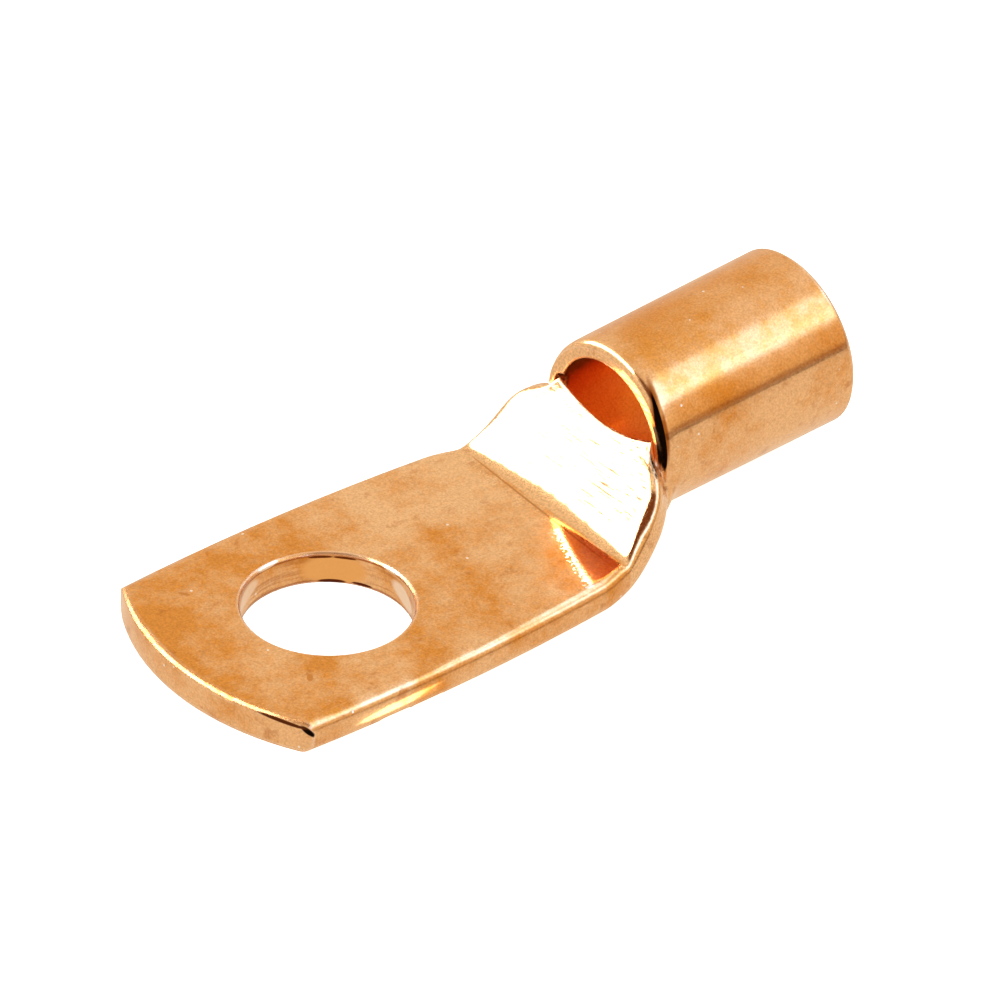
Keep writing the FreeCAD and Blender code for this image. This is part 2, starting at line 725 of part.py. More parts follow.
for first, second in zip(profile, profile[1:]):
    roll_sketch.addGeometry(Part.LineSegment(first, second), False)
axis_foot = FreeCAD.Vector(tip_centre, 0, 0)
axis_head = FreeCAD.Vector(tip_centre, palm_thickness, 0)
roll_sketch.addGeometry(Part.LineSegment(axis_foot, axis_head), True)
for constraint in (
    ("Coincident", 0, 2, 1, 1), ("Coincident", 1, 2, 2, 1), ("Coincident", 2, 2, 3, 1),
    ("Coincident", 3, 2, 4, 1), ("Coincident", 4, 2, 0, 1),
    ("Horizontal", 1), ("Vertical", 2), ("Horizontal", 3), ("Vertical", 4),
    ("Vertical", 5), ("PointOnObject", 5, 1, -1),
    ("Radius", 0, roll), ("DistanceX", 0, 2, -1, 1, -roll_start),
    ("DistanceY", -1, 1, 0, 1, palm_thickness), ("DistanceX", -1, 1, 5, 1, tip_centre),
    ("DistanceX", 2, 1, 1, 1, TRIM_MARGIN), ("DistanceY", 4, 2, 4, 1, TRIM_MARGIN),
    ("DistanceY", 5, 1, 5, 2, palm_thickness),
    ("Vertical", 0, 1, 0, 3), ("Horizontal", 0, 2, 0, 3),
):
    roll_sketch.addConstraint(Sketcher.Constraint(*constraint))
roll_sketch.setExpression("Constraints[11]", "sizes.tip_rollover")
roll_sketch.setExpression("Constraints[12]", "sizes.tip_reach")
roll_sketch.setExpression("Constraints[13]", "sizes.wall * 2")
roll_sketch.setExpression("Constraints[14]", "sizes.tip_arc_radius - sizes.tip_reach")
doc.recompute()
unrolled_volume = body.Tip.Shape.Volume
tip_roll = body.newObject("PartDesign::Groove", "tip_roll")
tip_roll.Profile = roll_sketch
tip_roll.ReferenceAxis = (roll_sketch, ["Axis0"])
tip_roll.Angle = ROLL_SWING
tip_roll.Midplane = True
doc.recompute()
need_less_than(tip_roll, unrolled_volume)

for item in doc.Objects:
    if "Invalid" in item.State or "Error" in item.State:
        raise RuntimeError(item.Name + " failed")
if body.Shape.isNull() or not body.Shape.isValid():
    raise RuntimeError(NODE + " has no valid shape")
print("volume", body.Shape.Volume, "solids", len(body.Shape.Solids))
print("box", body.Shape.optimalBoundingBox(False, False))
os.makedirs("parts", exist_ok=True)
body.Shape.exportStep("parts/" + NODE + ".step")
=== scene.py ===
import bpy
import bmesh
import json
import math
from mathutils import Matrix, Vector

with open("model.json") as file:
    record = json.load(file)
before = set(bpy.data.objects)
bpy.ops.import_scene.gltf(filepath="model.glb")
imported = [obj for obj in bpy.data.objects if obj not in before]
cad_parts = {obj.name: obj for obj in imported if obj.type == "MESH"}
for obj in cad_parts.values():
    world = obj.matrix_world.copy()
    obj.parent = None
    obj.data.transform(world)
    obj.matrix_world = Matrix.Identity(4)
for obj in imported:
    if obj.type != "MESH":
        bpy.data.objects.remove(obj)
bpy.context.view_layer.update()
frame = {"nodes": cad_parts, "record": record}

MM = 0.001
WHITE = (1.0, 1.0, 1.0, 1.0)

# Radius of the bolt hole, the barrel's bore as the record gives it, and where the bore's axis
# meets the window
HOLE_RADIUS = 4.2 * MM
CABLE_BORE = next(mount for mount in frame["record"]["mounts"] if mount["name"] == "cable_bore")
WINDOW_CENTRE = Vector((17.2, 0.0, 4.61)) * MM

# Camera, fitted to the photograph's outlines of palm, hole and barrel: angles in degrees, a place
# in radii of the bolt hole, and a focal length in pixels of the photograph
CAMERA_AZIMUTH = -40.152
CAMERA_ELEVATION = 34.703
CAMERA_ROLL = 1.451
CAMERA_TARGET = (2.0, 0.0, 0.5)
CAMERA_BACK = 153.879
CAMERA_RIGHT = 0.407
CAMERA_UP = 0.400
FOCAL_PIXELS = 13480.5071
PHOTO_PIXELS = 1000
SENSOR_WIDTH = 36.0
NEAREST_SEEN = 0.01
FARTHEST_SEEN = 20.0

# What stands round the table: azimuth, elevation and roll of its middle, how far it reaches
# to the left, right, down and up from there, its soft rim, all in degrees, and its light
ROOM_COLOUR = "#FBF0DC"
ROOM = [
    ("left_softbox", (129, 36, 33), (32, 34, 15, 5.5), 0.9, "#FFFFFF", 12.0),
    ("warm_wall", (-60, 17, 0), (60, 60, 16, 16), 3.0, "#F9DDA8", 1.0),
    ("right_softbox", (-52, 41, 0), (50, 45, 6, 7), 5.0, "#ABCDFF", 5.2),
    ("ceiling_strip", (-12, 56, 0), (28, 28, 4, 4), 1.5, "#B2D0FF", 4.2),
    ("far_table_shade", (-60, 4, 0), (60, 60, 4, 4), 2.5, "#9A6A42", 1.0),
    ("far_table_edge", (-60, 0.7, 0), (60, 60, 1.0, 1.0), 0.4, "#3A1E10", 1.0),
    ("dark_camera_side", (-140, 49, 0), (26, 30, 20, 22), 5.0, "#7A4418", 1.0),
]

# Overhead light and table, in metres and watts, and how bright the metal mirrors the table,
# outside the glint and in it. The glint is given as a mark is, and the near long side mirrors it
OVERHEAD_SIZE = 0.6
OVERHEAD_POWER = 2.0
OVERHEAD_PLACE = (0.0, 0.1, 0.7)
TABLE_HALF_SIZE = 3.0
TABLE_HEIGHT = -0.02 * MM
PAPER_COLOUR = "#F4F4F2"
PAPER_LIFT = 0.85
MIRRORED_COLOUR = "#F4E6D2"
MIRRORED_STRENGTH = {"To Min": 1.02, "To Max": 5.0}
TABLE_GLINT = ((-0.9, -8.56, -0.02), (1.0, -0.095, 0.0), 2.6, 0.24)

# Colours of the copper
COPPER_LIGHT = "#F4C28E"
COPPER_STAIN = "#E19541"
COPPER_SPOT = "#B96A28"
COPPER_INSIDE = "#FFB36A"
# White glints painted along the polished border beside the bend
COPPER_PAINTED_GLINT = "#FFFFFF"
# Punch rings on the hole's wall, and painted shade along its top and bottom edges
COPPER_RING_AND_RIM_SHADE = "#A9622A"
COPPER_RUBBED = "#FAD6B8"
# Near white glints painted where the copper is dented
COPPER_DENT_GLINT = "#FFF4E8"
COPPER_SCRATCH = "#5A4430"

# Patterns: size along X, Y and Z in millimetres, detail, roughness, and the levels where
# a patch begins and is full. Grain and draw lines are coarser than real ones, so that they show
CLOUDS = ((4.5, 4.5, 4.5), 8.0, 0.70, 0.0, 1.0)
SPOTS = ((0.9, 0.9, 0.9), 5.0, 0.55, 0.60, 0.72)
GRAIN = ((0.11, 0.11, 0.11), 2.0, 0.55, 0.25, 0.75)
SPECKS = ((0.17, 0.17, 0.17), 1.0, 0.5, 0.0, 1.0)
PUNCH_RINGS = ((2.4, 2.4, 0.16), 3.0, 0.55, 0.48, 0.62)
RAMP_SCRATCHES = ((0.17, 3.2, 0.17), 3.0, 0.7, 0.55, 0.68)
DRAW_LINES = ((7.0, 0.22, 0.22), 2.0, 0.5, 0.0, 1.0)
WAVES = ((1.6, 1.6, 1.6), 1.0, 0.5, 0.0, 1.0)

# Bands along X, across on Y or up Z: where each begins and ends and how softly, in millimetres
RAMP = (13.3, 17.3, 0.1)
SCRATCHED_ALONG = (14.3, 17.15, 0.2)
SCRATCHED_ACROSS = (-4.9, 7.0, 0.3)
BEND_PATCH_ALONG = (10.4, 13.0, 0.1)
BEND_PATCH_ACROSS = (-6.6, -1.9, 0.1)
# Top and bottom edges of the hole's wall, where shade is painted
HOLE_TOP_RIM = (1.50, 1.60, 0.03)
HOLE_LOW_RIM = (-0.1, 0.12, 0.05)

# Polished patch beside the bend, its specks painted white as glints: the slanting direction in which
# their border is measured, the border as a band there, and the place in it past which the specks
# grow thicker, by so much each millimetre
BEND_PATCH_DIRECTION = (1.0, -0.361, 0.0)
BEND_PATCH_BORDER = (12.7, 13.35, 0.15)
SPECK_LINE = 13.05
SPECK_THICKENING = 0.6

# Fades: from one place or level to another, and the values there where they aren't nothing and one
TIPWARDS = {"From Min": 6.0 * MM, "From Max": -9.0 * MM, "To Min": -0.03, "To Max": 0.14}
UPPER_FACE = {"From Min": 1.45 * MM, "From Max": 1.7 * MM, "To Min": -0.3}
STAIN_LEVELS = {"From Min": 0.44, "From Max": 0.64}
OUTSIDE_BAND = {"To Min": 1.0, "To Max": 0.0}
INNER_WALL = {"From Min": 3.75 * MM, "From Max": 3.65 * MM}
OUTER_WALL = {"From Min": 3.80 * MM, "From Max": 3.86 * MM}
BEHIND_WINDOW = {"From Min": -0.05 * MM, "From Max": 0.15 * MM}
FILM_FROM_LIP = {"From Min": 0.3 * MM, "From Max": 1.4 * MM, "To Max": 0.6}
FILM_PATCHES = {"From Min": 0.35, "From Max": 0.65, "To Min": 0.5, "To Max": 1.6}
GRAIN_SHADE = {"To Min": 0.76, "To Max": 1.16}
SPECK_LEVELS = {"From Min": 0.47, "From Max": 0.53}
HOLE_WALL = {"From Min": 4.36 * MM, "From Max": 4.28 * MM}
RAMP_NEAR_SIDE = {"From Min": 4.0 * MM, "From Max": -3.5 * MM, "To Min": 0.25}
MARK_FADE = {"From Min": 1.4, "From Max": 0.6}

# Film on the barrel: angles from its top where it ends, in degrees, and how softly, in radians
FILM_ANGLES = (-80, 67)
FILM_SOFTNESS = (0.3, 0.02)

# Shares of the spots, the punch's rings and the rubbed edges in the colour
SPOT_SHARE = 0.45
RING_SHARE = 0.45
RUBBED_SHARE = 0.75

# Line of the painted dark reflection beside the lip: 0.46 mm behind the window at 41 degrees from
# the barrel's top, and e times less in each 27 degrees further round, which the other two numbers
# say in radians
CREASE_REACH = 0.46
CREASE_CLOSING = 2.12
CREASE_START = 1.517

# Painted dark reflection along the lip's rolled shoulder, and the painted brown reflection round it:
# middle and half sizes, as degrees round the barrel and millimetres from that line, the squared
# radii where it begins and is full, and its colour
CREASE_REFLECTIONS = [
    ("crease_brown_reflection", (58, 0.05), (27, 0.24), (1.5, 0.5), "#A9622A"),
    ("crease_dark_reflection", (66, -0.01), (27, 0.125), (1.15, 0.8), "#120A06"),
]

# Single marks: middle, long axis, half length and half width in millimetres, and colour. The marks
# at the tip, on the ramp and at the hole are painted reflections, glints and shade
MARKS = [
    # Painted dark reflections at the tip's near corner and along its top edge
    ("corner_dark_reflection", (-6.90, -7.15, 1.26), (0.25, -0.53, -0.34), 0.42, 0.17, "#120805"),
    ("tip_edge_shadow", (-7.45, -5.95, 1.46), (0.40, -0.91, -0.06), 1.35, 0.11, "#5A2A10"),
    # Painted shade of a small wrinkle on the ramp
    ("ramp_wrinkle_shade", (16.52, -3.60, 4.86), (0.27, 0.96, 0.11), 0.75, 0.12, "#9A7048"),
    ("bend_line", (12.98, -0.10, 1.72), (0.05, 1.0, 0.0), 5.6, 0.06, "#C88A50"),
    ("palm_spot", (-4.93, 4.77, 1.72), (0.5, -0.8, 0.0), 0.32, 0.10, "#D08A45"),
    ("palm_spot_near_tip", (-4.48, -4.26, 1.72), (0.6, 0.8, 0.0), 0.30, 0.15, "#D08A45"),
    # Painted glints on the hole's rim
    ("hole_rim_glint_far", (-0.10, 4.27, 1.62), (1.0, 0.13, 0.0), 1.00, 0.11, "#FFEBD2"),
    ("hole_rim_glint_right", (4.22, 0.35, 1.62), (-0.1, 1.0, 0.0), 0.60, 0.12, "#FFEBD2"),
    # Painted pale and golden reflections on the hole's wall
    ("hole_wall_pale_reflection_right", (4.12, -0.70, 0.70), (0.16, 0.98, 0.35), 1.00, 0.45, "#F6DAC2"),
    ("hole_wall_pale_reflection_left", (-1.96, 3.71, 0.95), (0.88, 0.47, 0.20), 1.10, 0.40, "#F2CFB0"),
    ("hole_wall_golden_reflection", (2.90, 3.04, 0.80), (0.72, -0.69, 0.0), 1.70, 0.80, "#EFB06A"),
    # Painted shade: dark lines along the top and bottom of the hole's wall
    ("hole_top_shade_left", (2.36, 3.47, 1.48), (0.83, -0.56, 0.0), 0.75, 0.07, "#6A3010"),
    ("hole_top_shade_right", (3.22, 2.70, 1.48), (0.64, -0.77, 0.0), 0.75, 0.07, "#6A3010"),
    ("hole_bottom_shade_left", (2.80, 3.13, 0.09), (0.75, -0.67, 0.0), 0.80, 0.10, "#5A240C"),
    ("hole_bottom_shade_right", (3.72, 1.95, 0.12), (0.46, -0.89, 0.0), 0.60, 0.08, "#5A240C"),
]

# Small hollows, with near white glints painted in them: distance between them in millimetres, and
# the parts of it, from a hollow's middle, where it begins and is full
DENT_SPACING = 1.3
DENT_LEVELS = {"From Min": 0.060, "From Max": 0.040}

# Share of the hazy reflection along the lug, by place in millimetres, what stains add to it, and its
# share in the polished border beside the bend, between specks and in them
HAZE = [(-10.0, 0.45), (9.0, 0.45), (12.5, 0.25), (13.6, 0.12), (17.2, 0.12), (17.6, 0.50),
        (30.0, 0.50)]
STAIN_HAZE = 0.12
SPECK_HAZE = {"To Min": 0.9, "To Max": 0.1}

# Roughness of the sharp reflection, clean and what stains add, and of the hazy one, with what
# rubbing takes off
SHARP_ROUGHNESS = 0.035
STAIN_ROUGHNESS = 0.05
HAZY_ROUGHNESS = 0.32
RUBBED_SMOOTHING = -0.12

# Edges are rounded for light, by 0.18 mm and towards the tip by 0.3 mm, and count as rubbed where
# that turns the surface; the turn is given as a cosine
EDGE_RADIUS = {"From Min": -5.0 * MM, "From Max": -7.0 * MM, "To Min": 0.18 * MM, "To Max": 0.3 * MM}
EDGE_TURN = {"From Min": 0.999, "From Max": 0.97}
EDGE_SAMPLES = 6

# Heights of the relief in thousandths of a millimetre, less than nothing where it is cut in
WAVE_HEIGHT = 4.0
DRAW_LINE_HEIGHT = 1.6
GRAIN_HEIGHT = 0.9
SCRATCH_HEIGHT = -20.0
DENT_HEIGHT = -10.0


# Small helpers
def linear(text):
    """Linear colour of an sRGB hex value."""
    channels = [int(text[i:i + 2], 16) / 255 for i in (1, 3, 5)]
    values = [c / 12.92 if c <= 0.04045 else ((c + 0.055) / 1.055) ** 2.4 for c in channels]
    return (*values, 1.0)


def add_node(tree, kind, inputs=None, **settings):
    """Add a node, set its properties, then set or link its inputs."""
    node = tree.nodes.new(kind)
    for name, value in settings.items():
        setattr(node, name, value)
    for key, value in (inputs or {}).items():
        socket = node.inputs[key]
        if isinstance(value, bpy.types.NodeSocket):
            tree.links.new(value, socket)
        else:
            socket.default_value = value
    return node


def new_tree(owner):
    """Empty node tree of a material or a world."""
    owner.use_nodes = True
    owner.node_tree.nodes.clear()
    return owner.node_tree


# Camera
def camera_axes():
    """Right, up and back vectors of the camera, turned by its roll."""
    azimuth = math.radians(CAMERA_AZIMUTH)
    elevation = math.radians(CAMERA_ELEVATION)
    roll = math.radians(CAMERA_ROLL)
    back = Vector((math.sin(azimuth) * math.cos(elevation),
                   -math.cos(azimuth) * math.cos(elevation),
                   math.sin(elevation)))
    level = Vector((0, 0, 1)).cross(back).normalized()
    upright = back.cross(level)
    right = math.cos(roll) * level + math.sin(roll) * upright
    up = math.cos(roll) * upright - math.sin(roll) * level
    return right, up, back


def add_camera():
    """Camera at the photograph's angle and distance."""
    right, up, back = camera_axes()
    offset = back * CAMERA_BACK + right * CAMERA_RIGHT + up * CAMERA_UP
    place = (Vector(CAMERA_TARGET) + offset) * HOLE_RADIUS
    data = bpy.data.cameras.new("camera")
    data.sensor_width = SENSOR_WIDTH
    data.lens = FOCAL_PIXELS * SENSOR_WIDTH / PHOTO_PIXELS
    data.clip_start = NEAREST_SEEN
    data.clip_end = FARTHEST_SEEN
    camera = bpy.data.objects.new("camera", data)
    turn = Matrix((right, up, back)).transposed()
    camera.matrix_world = Matrix.Translation(place) @ turn.to_4x4()
    bpy.context.collection.objects.link(camera)
    bpy.context.scene.camera = camera


# Places on a surface or in the room, each one inside and nothing outside
def window(tree, value, low, high, soft_low, soft_high):
    """One between two values and nothing outside them, eased over a soft width at each."""
    rising = add_node(tree, "ShaderNodeMapRange", {
        "Value": value, "From Min": low - soft_low, "From Max": low + soft_low,
    }, interpolation_type="SMOOTHSTEP")
    falling = add_node(tree, "ShaderNodeMapRange", {
        "Value": value, "From Min": high - soft_high, "From Max": high + soft_high,
        "To Min": 1.0, "To Max": 0.0,
    }, interpolation_type="SMOOTHSTEP")
    both = add_node(tree, "ShaderNodeMath", {
        0: rising.outputs[0], 1: falling.outputs[0]}, operation="MULTIPLY")
    return both.outputs[0]


def band(tree, value, low, high, soft):
    """One between two places along an axis, in millimetres, and nothing outside them."""
    return window(tree, value, low * MM, high * MM, soft * MM, soft * MM)


def mark(tree, coords, centre, axis, half_length, half_width):
    """One in a cigar-shaped place given in millimetres, fading out round it."""
    local = add_node(tree, "ShaderNodeVectorMath", {
        0: coords, 1: Vector(centre) * MM}, operation="SUBTRACT").outputs[0]
    lengthwise = add_node(tree, "ShaderNodeVectorMath", {
        0: local, 1: Vector(axis).normalized()}, operation="DOT_PRODUCT").outputs["Value"]
    squared = add_node(tree, "ShaderNodeVectorMath", {
        0: local, 1: local}, operation="DOT_PRODUCT").outputs["Value"]
    lengthwise_squared = add_node(tree, "ShaderNodeMath", {
        0: lengthwise, 1: lengthwise}, operation="MULTIPLY").outputs[0]
    per_width = 1 / (half_width * MM) ** 2
    per_length = 1 / (half_length * MM) ** 2
    round_reach = add_node(tree, "ShaderNodeMath", {
        0: squared, 1: per_width}, operation="MULTIPLY").outputs[0]
    reach = add_node(tree, "ShaderNodeMath", {
        0: lengthwise_squared, 1: per_length - per_width, 2: round_reach}, operation="MULTIPLY_ADD")
    share = add_node(tree, "ShaderNodeMapRange", {
        "Value": reach.outputs[0], **MARK_FADE}, interpolation_type="SMOOTHSTEP")
    return share.outputs[0]


def ellipse(tree, values, middle, half_sizes, fade):
    """One near the middle of an ellipse, falling to nothing between two squared radii."""
    squares = []
    for value, centre, half_size in zip(values, middle, half_sizes):
        offset = add_node(tree, "ShaderNodeMath", {
            0: value, 1: 1 / half_size, 2: -centre / half_size}, operation="MULTIPLY_ADD")
        squares.append(add_node(tree, "ShaderNodeMath", {
            0: offset.outputs[0], 1: 2.0}, operation="POWER").outputs[0])
    total = add_node(tree, "ShaderNodeMath", {0: squares[0], 1: squares[1]}, operation="ADD")
    share = add_node(tree, "ShaderNodeMapRange", {
        "Value": total.outputs[0], "From Min": fade[0], "From Max": fade[1],
    }, interpolation_type="SMOOTHSTEP")
    return share.outputs[0]


# Studio: white to the camera, and for the metal a warm room with two softboxes
def aim(azimuth, elevation, roll):
    """Middle, leftward and upward directions of a card, in that order."""
    middle = Vector((math.cos(azimuth) * math.cos(elevation),
                     math.sin(azimuth) * math.cos(elevation),
                     math.sin(elevation)))
    level = Vector((-math.sin(azimuth), math.cos(azimuth), 0.0))
    upright = middle.cross(level)
    left = math.cos(roll) * level + math.sin(roll) * upright
    up = math.cos(roll) * upright - math.sin(roll) * level
    return middle, left, up


def card_share(tree, direction, angles, reach, soft):
    """One inside a card of the room and nothing outside it."""
    axes = aim(*[math.radians(angle) for angle in angles])
    ahead, leftward, upward = [
        add_node(tree, "ShaderNodeVectorMath", {
            0: direction, 1: axis}, operation="DOT_PRODUCT").outputs["Value"]
        for axis in axes]
    beside, above = [
        add_node(tree, "ShaderNodeMath", {0: part, 1: ahead}, operation="DIVIDE").outputs[0]
        for part in (leftward, upward)]
    to_left, to_right, to_bottom, to_top = [math.tan(math.radians(angle)) for angle in reach]
    rim = math.tan(math.radians(soft))
    within_width = window(tree, beside, -to_right, to_left, rim, rim)
    within_height = window(tree, above, -to_bottom, to_top, rim, rim)
    within = add_node(tree, "ShaderNodeMath", {
        0: within_width, 1: within_height}, operation="MULTIPLY")
    in_front = add_node(tree, "ShaderNodeMath", {0: ahead, 1: 0.0}, operation="GREATER_THAN")
    share = add_node(tree, "ShaderNodeMath", {
        0: within.outputs[0], 1: in_front.outputs[0]}, operation="MULTIPLY")
    return share.outputs[0]


def add_room():
    """World: what the polished copper mirrors, and plain white for everything else."""
    world = bpy.data.worlds.new("studio")
    bpy.context.scene.world = world
    tree = new_tree(world)
    direction = add_node(tree, "ShaderNodeTexCoord").outputs["Generated"]
    colour = linear(ROOM_COLOUR)
    for name, angles, reach, soft, shade, strength in ROOM:
        lit = [channel * strength for channel in linear(shade)[:3]] + [1.0]
        colour = add_node(tree, "ShaderNodeMix", {
            0: card_share(tree, direction, angles, reach, soft), 6: colour, 7: lit,
        }, data_type="RGBA", label=name).outputs[2]
    ray = add_node(tree, "ShaderNodeLightPath")
    seen = add_node(tree, "ShaderNodeMix", {
        0: ray.outputs["Is Glossy Ray"], 6: WHITE, 7: colour}, data_type="RGBA")
    background = add_node(tree, "ShaderNodeBackground", {"Color": seen.outputs[2]})
    add_node(tree, "ShaderNodeOutputWorld", {"Surface": background.outputs[0]})


def add_overhead_softbox():
    """Soft light from overhead, for the table and its faint shadow."""
    data = bpy.data.lights.new("overhead_softbox", "AREA")
    data.size = OVERHEAD_SIZE
    data.energy = OVERHEAD_POWER
    light = bpy.data.objects.new("overhead_softbox", data)
    light.location = OVERHEAD_PLACE
    light.visible_glossy = False
    bpy.context.collection.objects.link(light)


def white_paper():
    """Matt white paper: it keeps a trace of shadow, and the metal mirrors it warm and even."""
    material = bpy.data.materials.new("white_paper")
    tree = new_tree(material)
    coords = add_node(tree, "ShaderNodeTexCoord").outputs["Object"]
    paper = add_node(tree, "ShaderNodeBsdfDiffuse", {"Color": linear(PAPER_COLOUR)})
    lift = add_node(tree, "ShaderNodeEmission", {"Color": WHITE, "Strength": PAPER_LIFT})
    lifted = add_node(tree, "ShaderNodeAddShader", {0: paper.outputs[0], 1: lift.outputs[0]})
    glare = add_node(tree, "ShaderNodeMapRange", {
        "Value": mark(tree, coords, *TABLE_GLINT), **MIRRORED_STRENGTH})
    mirrored = add_node(tree, "ShaderNodeEmission", {
        "Color": linear(MIRRORED_COLOUR), "Strength": glare.outputs[0]})
    ray = add_node(tree, "ShaderNodeLightPath")
    surface = add_node(tree, "ShaderNodeMixShader", {
        0: ray.outputs["Is Glossy Ray"], 1: lifted.outputs[0], 2: mirrored.outputs[0]})
    add_node(tree, "ShaderNodeOutputMaterial", {"Surface": surface.outputs[0]})
    return material


def add_table():
    """Table under the lug, a hair below it."""
    mesh = bpy.data.meshes.new("floor")
    kit = bmesh.new()
    bmesh.ops.create_grid(kit, x_segments=1, y_segments=1, size=TABLE_HALF_SIZE,
                          matrix=Matrix.Translation((0.0, 0.0, TABLE_HEIGHT)))
    kit.to_mesh(mesh)
    kit.free()
    mesh.materials.append(white_paper())
    floor = bpy.data.objects.new("floor", mesh)
    bpy.context.collection.objects.link(floor)


# Copper: patterns and places on it, then the material
def blotches(tree, coords, size, detail, roughness, low, high):
    """Patches of about a size: nothing where the pattern is under low, one where it is over high."""
    fitted = add_node(tree, "ShaderNodeMapping", {
        "Vector": coords, "Scale": [1 / (side * MM) for side in size]}, vector_type="POINT")
    pattern = add_node(tree, "ShaderNodeTexNoise", {
        "Vector": fitted.outputs[0], "Scale": 1.0, "Detail": detail, "Roughness": roughness})
    share = add_node(tree, "ShaderNodeMapRange", {
        "Value": pattern.outputs[0], "From Min": low, "From Max": high})
    return share.outputs[0]


def barrel_coordinates(tree, coords):
    """Angle from the top towards -Y, distance from the barrel's axis, and from the window."""
    axis = Vector(CABLE_BORE["axis"])
    upright = axis.cross(Vector((0, 1, 0)))
    local = add_node(tree, "ShaderNodeVectorMath", {
        0: coords, 1: WINDOW_CENTRE}, operation="SUBTRACT").outputs[0]
    from_window, up, near = [
        add_node(tree, "ShaderNodeVectorMath", {
            0: local, 1: direction}, operation="DOT_PRODUCT").outputs["Value"]
        for direction in (axis, upright, (0.0, -1.0, 0.0))]
    angle = add_node(tree, "ShaderNodeMath", {0: near, 1: up}, operation="ARCTAN2").outputs[0]
    flat = add_node(tree, "ShaderNodeCombineXYZ", {0: near, 1: up})
    off_axis = add_node(tree, "ShaderNodeVectorMath", {0: flat.outputs[0]}, operation="LENGTH")
    return angle, off_axis.outputs["Value"], from_window


def palm_stains(tree, clouds, along, height):
    """Stains a few millimetres wide, thicker towards the tip, few on the sides, none on the ramp."""
    lean = add_node(tree, "ShaderNodeMapRange", {"Value": along, **TIPWARDS})
    on_top = add_node(tree, "ShaderNodeMapRange", {"Value": height, **UPPER_FACE})
    leaning = add_node(tree, "ShaderNodeMath", {
        0: lean.outputs[0], 1: on_top.outputs[0], 2: clouds}, operation="MULTIPLY_ADD")
    stained = add_node(tree, "ShaderNodeMapRange", {"Value": leaning.outputs[0], **STAIN_LEVELS})
    off_ramp = add_node(tree, "ShaderNodeMapRange", {
        "Value": band(tree, along, *RAMP), **OUTSIDE_BAND})
    stains = add_node(tree, "ShaderNodeMath", {
        0: stained.outputs[0], 1: off_ramp.outputs[0]}, operation="MULTIPLY")
    return stains.outputs[0]


def inside_film(tree, off_axis, from_window):
    """Inside of the barrel: never rubbed, so its film is thicker and redder."""
    inner = add_node(tree, "ShaderNodeMapRange", {"Value": off_axis, **INNER_WALL})
    behind = add_node(tree, "ShaderNodeMapRange", {"Value": from_window, **BEHIND_WINDOW})
    inside = add_node(tree, "ShaderNodeMath", {
        0: inner.outputs[0], 1: behind.outputs[0]}, operation="MULTIPLY")
    return inside.outputs[0]


def barrel_film(tree, clouds, angle, from_window):
    """Upper side of the barrel: an orange film, worn off below and at the lip."""
    low, high = [math.radians(end) for end in FILM_ANGLES]
    upper = window(tree, angle, low, high, *FILM_SOFTNESS)
    aged = add_node(tree, "ShaderNodeMapRange", {"Value": from_window, **FILM_FROM_LIP})
    patchy = add_node(tree, "ShaderNodeMapRange", {"Value": clouds, **FILM_PATCHES})
    even = add_node(tree, "ShaderNodeMath", {0: upper, 1: aged.outputs[0]}, operation="MULTIPLY")
    film = add_node(tree, "ShaderNodeMath", {
        0: even.outputs[0], 1: patchy.outputs[0]}, operation="MULTIPLY", use_clamp=True)
    return film.outputs[0]


def bend_polish_and_glints(tree, coords, along, across):
    """Border of the press's polish on the palm beside the bend, and the specks that break it up; the
    copper is painted white in them as glints.
    """
    inwards = add_node(tree, "ShaderNodeVectorMath", {
        0: coords, 1: BEND_PATCH_DIRECTION}, operation="DOT_PRODUCT").outputs["Value"]
    near_corner = add_node(tree, "ShaderNodeMath", {
        0: band(tree, across, *BEND_PATCH_ACROSS), 1: band(tree, along, *BEND_PATCH_ALONG),
    }, operation="MULTIPLY")
    border = add_node(tree, "ShaderNodeMath", {
        0: band(tree, inwards, *BEND_PATCH_BORDER), 1: near_corner.outputs[0]}, operation="MULTIPLY")
    thickening = add_node(tree, "ShaderNodeMath", {
        0: inwards, 1: SPECK_THICKENING / MM, 2: -SPECK_THICKENING * SPECK_LINE,
    }, operation="MULTIPLY_ADD")
    scored = add_node(tree, "ShaderNodeMath", {
        0: blotches(tree, coords, *SPECKS), 1: thickening.outputs[0]}, operation="ADD")
    specks = add_node(tree, "ShaderNodeMapRange", {"Value": scored.outputs[0], **SPECK_LEVELS})
    return border.outputs[0], specks.outputs[0]


def hole_rings_and_rim_shade(tree, coords, along, across, height):
    """Hole wall: rings left by the punch, and painted shade along the top and bottom edges of the
    wall.
    """
    flat = add_node(tree, "ShaderNodeCombineXYZ", {0: along, 1: across})
    radial = add_node(tree, "ShaderNodeVectorMath", {0: flat.outputs[0]}, operation="LENGTH")
    in_hole = add_node(tree, "ShaderNodeMapRange", {
        "Value": radial.outputs["Value"], **HOLE_WALL})
    # Painted shade: darker bands along the wall's top and bottom edges
    rim_shade = add_node(tree, "ShaderNodeMath", {
        0: band(tree, height, *HOLE_TOP_RIM), 1: band(tree, height, *HOLE_LOW_RIM),
    }, operation="ADD")
    rings = add_node(tree, "ShaderNodeMath", {
        0: blotches(tree, coords, *PUNCH_RINGS), 1: RING_SHARE, 2: rim_shade.outputs[0],
    }, operation="MULTIPLY_ADD")
    share = add_node(tree, "ShaderNodeMath", {
        0: rings.outputs[0], 1: in_hole.outputs[0]}, operation="MULTIPLY", use_clamp=True)
    return share.outputs[0]


